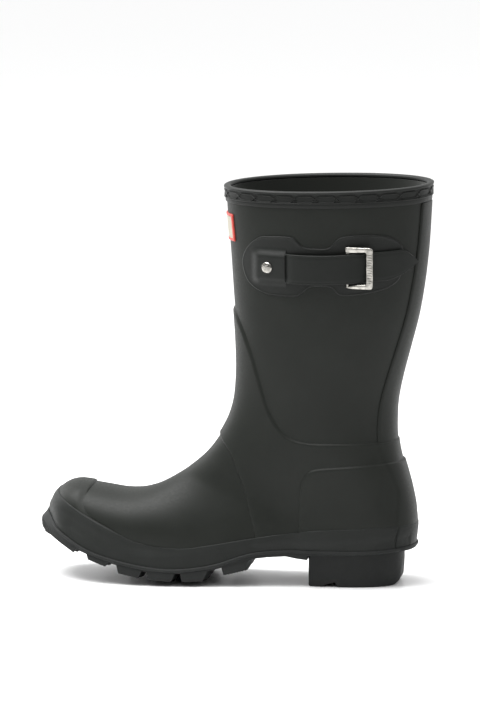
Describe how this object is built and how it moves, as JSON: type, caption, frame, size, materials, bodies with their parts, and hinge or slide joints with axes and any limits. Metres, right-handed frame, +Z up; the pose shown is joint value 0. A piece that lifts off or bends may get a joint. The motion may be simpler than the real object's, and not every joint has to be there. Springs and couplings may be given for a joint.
{
  "type": "rubber rain boot",
  "caption": "Short matte rubber rain boot with layered rubber overlays, relief collar, side strap with a hinged buckle, lugged sole and low heel.",
  "frame": {"origin": "on the floor under the middle of the boot's outer box", "axes": "+Z up, +Y towards the heel (the toe points to -Y), +X towards the outer side with the buckle"},
  "size_m": [0.1047, 0.3017, 0.3065],
  "materials": {
    "upper_rubber": "matte",
    "foxing_rubber": "matte",
    "trim_rubber": "satin",
    "strap_rubber": "satin",
    "sole_rubber": "matte",
    "lining_cloth": "knit",
    "footbed_cloth": "felt",
    "board": "fibreboard",
    "shank_steel": "mill",
    "bright_metal": "polished nickel",
    "label_red": "satin",
    "label_cream": "satin"
  },
  "bodies": {
    "boot": {"leg_shell": "upper_rubber", "vamp": "upper_rubber", "ankle_overlay": "upper_rubber", "heel_counter": "upper_rubber", "toe_cap": "upper_rubber", "back_strip": "upper_rubber", "foxing_band": "foxing_rubber", "heel_tab": "foxing_rubber", "collar_binding": "trim_rubber", "collar_under_band": "trim_rubber", "strap_patch": "trim_rubber", "strap": "strap_rubber", "buckle_loop": "strap_rubber", "outsole": "sole_rubber", "welt": "sole_rubber", "heel_block": "sole_rubber", "lining": "lining_cloth", "footbed": "footbed_cloth", "insole_board": "board", "shank": "shank_steel", "rivet": "bright_metal", "rivet_washer": "bright_metal", "label_border": "label_red", "label_panel": "label_cream"},
    "buckle": {"buckle_frame": "bright_metal", "buckle_pin": "bright_metal"}
  },
  "joints": [
    {"name": "buckle_hinge", "type": "hinge", "parent": "boot", "child": "buckle", "pos_m": [0.0481, 0.09005, 0.24614], "axis": [-0.0433, -0.0065, -0.999], "range_deg": [0, 70]}
  ]
}
